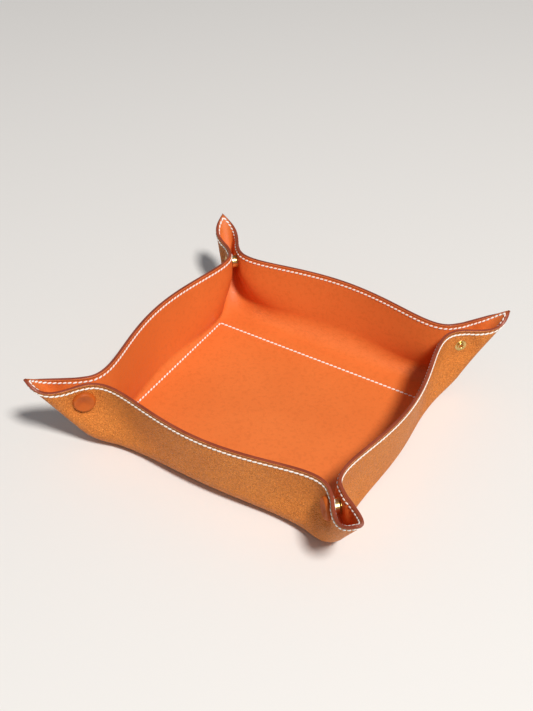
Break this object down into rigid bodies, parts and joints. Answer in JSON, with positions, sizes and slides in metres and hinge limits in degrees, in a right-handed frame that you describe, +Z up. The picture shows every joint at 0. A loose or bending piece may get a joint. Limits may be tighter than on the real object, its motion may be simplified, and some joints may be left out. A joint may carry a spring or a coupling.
{
  "type": "valet tray",
  "caption": "Square leather tray for pocket things: a lined sheet bent up on all sides and pinched by press studs into pointed corner ears, stitched round rim and base.",
  "frame": {"origin": "on the floor under the middle of the base", "axes": "+Z up out of the tray, +X to the right wall, +Y to the back wall; the capped studs are on the front and back walls"},
  "size_m": [0.2146, 0.2146, 0.0556],
  "materials": {
    "outer_leather": "pebbled vegetable-tanned leather, caramel tan, satin",
    "lining_leather": "smooth orange leather, low sheen, fine wrinkles at the bends",
    "cap_leather": "smooth orange leather drawn over a cap",
    "thread": "waxed off-white thread in a saddle stitch",
    "brass": "stamped brass, satin polish",
    "stiffener": "pressed fibre board"
  },
  "bodies": {
    "base": {"base_outer": "outer_leather", "base_lining": "lining_leather", "base_stiffener_board": "stiffener", "base_stitching": "thread"},
    "front_wall": {"front_wall_outer": "outer_leather", "front_wall_lining": "lining_leather", "front_wall_stitching": "thread"},
    "back_wall": {"back_wall_outer": "outer_leather", "back_wall_lining": "lining_leather", "back_wall_stitching": "thread"},
    "left_wall": {"left_wall_outer": "outer_leather", "left_wall_lining": "lining_leather", "left_wall_stitching": "thread"},
    "right_wall": {"right_wall_outer": "outer_leather", "right_wall_lining": "lining_leather", "right_wall_stitching": "thread"},
    "ear_front_left_cap_half": {"ear_front_left_cap_half_outer": "outer_leather", "ear_front_left_cap_half_lining": "lining_leather", "snap_cap_front_left": "brass", "snap_cap_cover_front_left": "cap_leather", "snap_socket_front_left": "brass", "snap_spring_front_left": "brass"},
    "ear_front_left_stud_half": {"ear_front_left_stud_half_outer": "outer_leather", "ear_front_left_stud_half_lining": "lining_leather", "snap_stud_front_left": "brass", "snap_eyelet_front_left": "brass"},
    "ear_front_right_cap_half": {"ear_front_right_cap_half_outer": "outer_leather", "ear_front_right_cap_half_lining": "lining_leather", "snap_cap_front_right": "brass", "snap_cap_cover_front_right": "cap_leather", "snap_socket_front_right": "brass", "snap_spring_front_right": "brass"},
    "ear_front_right_stud_half": {"ear_front_right_stud_half_outer": "outer_leather", "ear_front_right_stud_half_lining": "lining_leather", "snap_stud_front_right": "brass", "snap_eyelet_front_right": "brass"},
    "ear_back_left_cap_half": {"ear_back_left_cap_half_outer": "outer_leather", "ear_back_left_cap_half_lining": "lining_leather", "snap_cap_back_left": "brass", "snap_cap_cover_back_left": "cap_leather", "snap_socket_back_left": "brass", "snap_spring_back_left": "brass"},
    "ear_back_left_stud_half": {"ear_back_left_stud_half_outer": "outer_leather", "ear_back_left_stud_half_lining": "lining_leather", "snap_stud_back_left": "brass", "snap_eyelet_back_left": "brass"},
    "ear_back_right_cap_half": {"ear_back_right_cap_half_outer": "outer_leather", "ear_back_right_cap_half_lining": "lining_leather", "snap_cap_back_right": "brass", "snap_cap_cover_back_right": "cap_leather", "snap_socket_back_right": "brass", "snap_spring_back_right": "brass"},
    "ear_back_right_stud_half": {"ear_back_right_stud_half_outer": "outer_leather", "ear_back_right_stud_half_lining": "lining_leather", "snap_stud_back_right": "brass", "snap_eyelet_back_right": "brass"}
  },
  "joints": [
    {"name": "front_wall_fold", "type": "hinge", "parent": "base", "child": "front_wall", "pos_m": [0, -0.0796, 0.00401], "axis": [1, 0, 0], "range_deg": [0, 45]},
    {"name": "back_wall_fold", "type": "hinge", "parent": "base", "child": "back_wall", "pos_m": [0, 0.0796, 0.00401], "axis": [-1, 0, 0], "range_deg": [0, 45]},
    {"name": "left_wall_fold", "type": "hinge", "parent": "base", "child": "left_wall", "pos_m": [-0.08217, 0, 0.00179], "axis": [0, -1, 0], "range_deg": [0, 45]},
    {"name": "right_wall_fold", "type": "hinge", "parent": "base", "child": "right_wall", "pos_m": [0.08217, 0, 0.00179], "axis": [0, 1, 0], "range_deg": [0, 45]},
    {"name": "ear_front_left_cap_half_fold", "type": "hinge", "parent": "front_wall", "child": "ear_front_left_cap_half", "pos_m": [-0.06729, -0.07759, 0.02817], "axis": [-0.3188, -0.1076, -0.9417], "range_deg": [0, 27.9]},
    {"name": "ear_front_left_stud_half_fold", "type": "hinge", "parent": "left_wall", "child": "ear_front_left_stud_half", "pos_m": [-0.07751, -0.0669, 0.02788], "axis": [0.1033, 0.298, 0.949], "range_deg": [0, 27.9]},
    {"name": "ear_front_right_cap_half_fold", "type": "hinge", "parent": "front_wall", "child": "ear_front_right_cap_half", "pos_m": [0.06729, -0.07759, 0.02817], "axis": [-0.3188, 0.1076, 0.9417], "range_deg": [0, 27.9]},
    {"name": "ear_front_right_stud_half_fold", "type": "hinge", "parent": "right_wall", "child": "ear_front_right_stud_half", "pos_m": [0.07751, -0.0669, 0.02788], "axis": [0.1033, -0.298, -0.949], "range_deg": [0, 27.9]},
    {"name": "ear_back_left_cap_half_fold", "type": "hinge", "parent": "back_wall", "child": "ear_back_left_cap_half", "pos_m": [-0.06729, 0.07759, 0.02817], "axis": [0.3188, -0.1076, 0.9417], "range_deg": [0, 27.9]},
    {"name": "ear_back_left_stud_half_fold", "type": "hinge", "parent": "left_wall", "child": "ear_back_left_stud_half", "pos_m": [-0.07751, 0.0669, 0.02788], "axis": [-0.1033, 0.298, -0.949], "range_deg": [0, 27.9]},
    {"name": "ear_back_right_cap_half_fold", "type": "hinge", "parent": "back_wall", "child": "ear_back_right_cap_half", "pos_m": [0.06729, 0.07759, 0.02817], "axis": [0.3188, 0.1076, -0.9417], "range_deg": [0, 27.9]},
    {"name": "ear_back_right_stud_half_fold", "type": "hinge", "parent": "right_wall", "child": "ear_back_right_stud_half", "pos_m": [0.07751, 0.0669, 0.02788], "axis": [-0.1033, -0.298, 0.949], "range_deg": [0, 27.9]}
  ],
  "couplings": [
    {"joint": "back_wall_fold", "follows": "front_wall_fold", "ratio": 1},
    {"joint": "left_wall_fold", "follows": "front_wall_fold", "ratio": 1},
    {"joint": "right_wall_fold", "follows": "front_wall_fold", "ratio": 1},
    {"joint": "ear_front_left_cap_half_fold", "follows": "front_wall_fold", "ratio": 0.62},
    {"joint": "ear_front_left_stud_half_fold", "follows": "front_wall_fold", "ratio": 0.62},
    {"joint": "ear_front_right_cap_half_fold", "follows": "front_wall_fold", "ratio": 0.62},
    {"joint": "ear_front_right_stud_half_fold", "follows": "front_wall_fold", "ratio": 0.62},
    {"joint": "ear_back_left_cap_half_fold", "follows": "front_wall_fold", "ratio": 0.62},
    {"joint": "ear_back_left_stud_half_fold", "follows": "front_wall_fold", "ratio": 0.62},
    {"joint": "ear_back_right_cap_half_fold", "follows": "front_wall_fold", "ratio": 0.62},
    {"joint": "ear_back_right_stud_half_fold", "follows": "front_wall_fold", "ratio": 0.62}
  ]
}
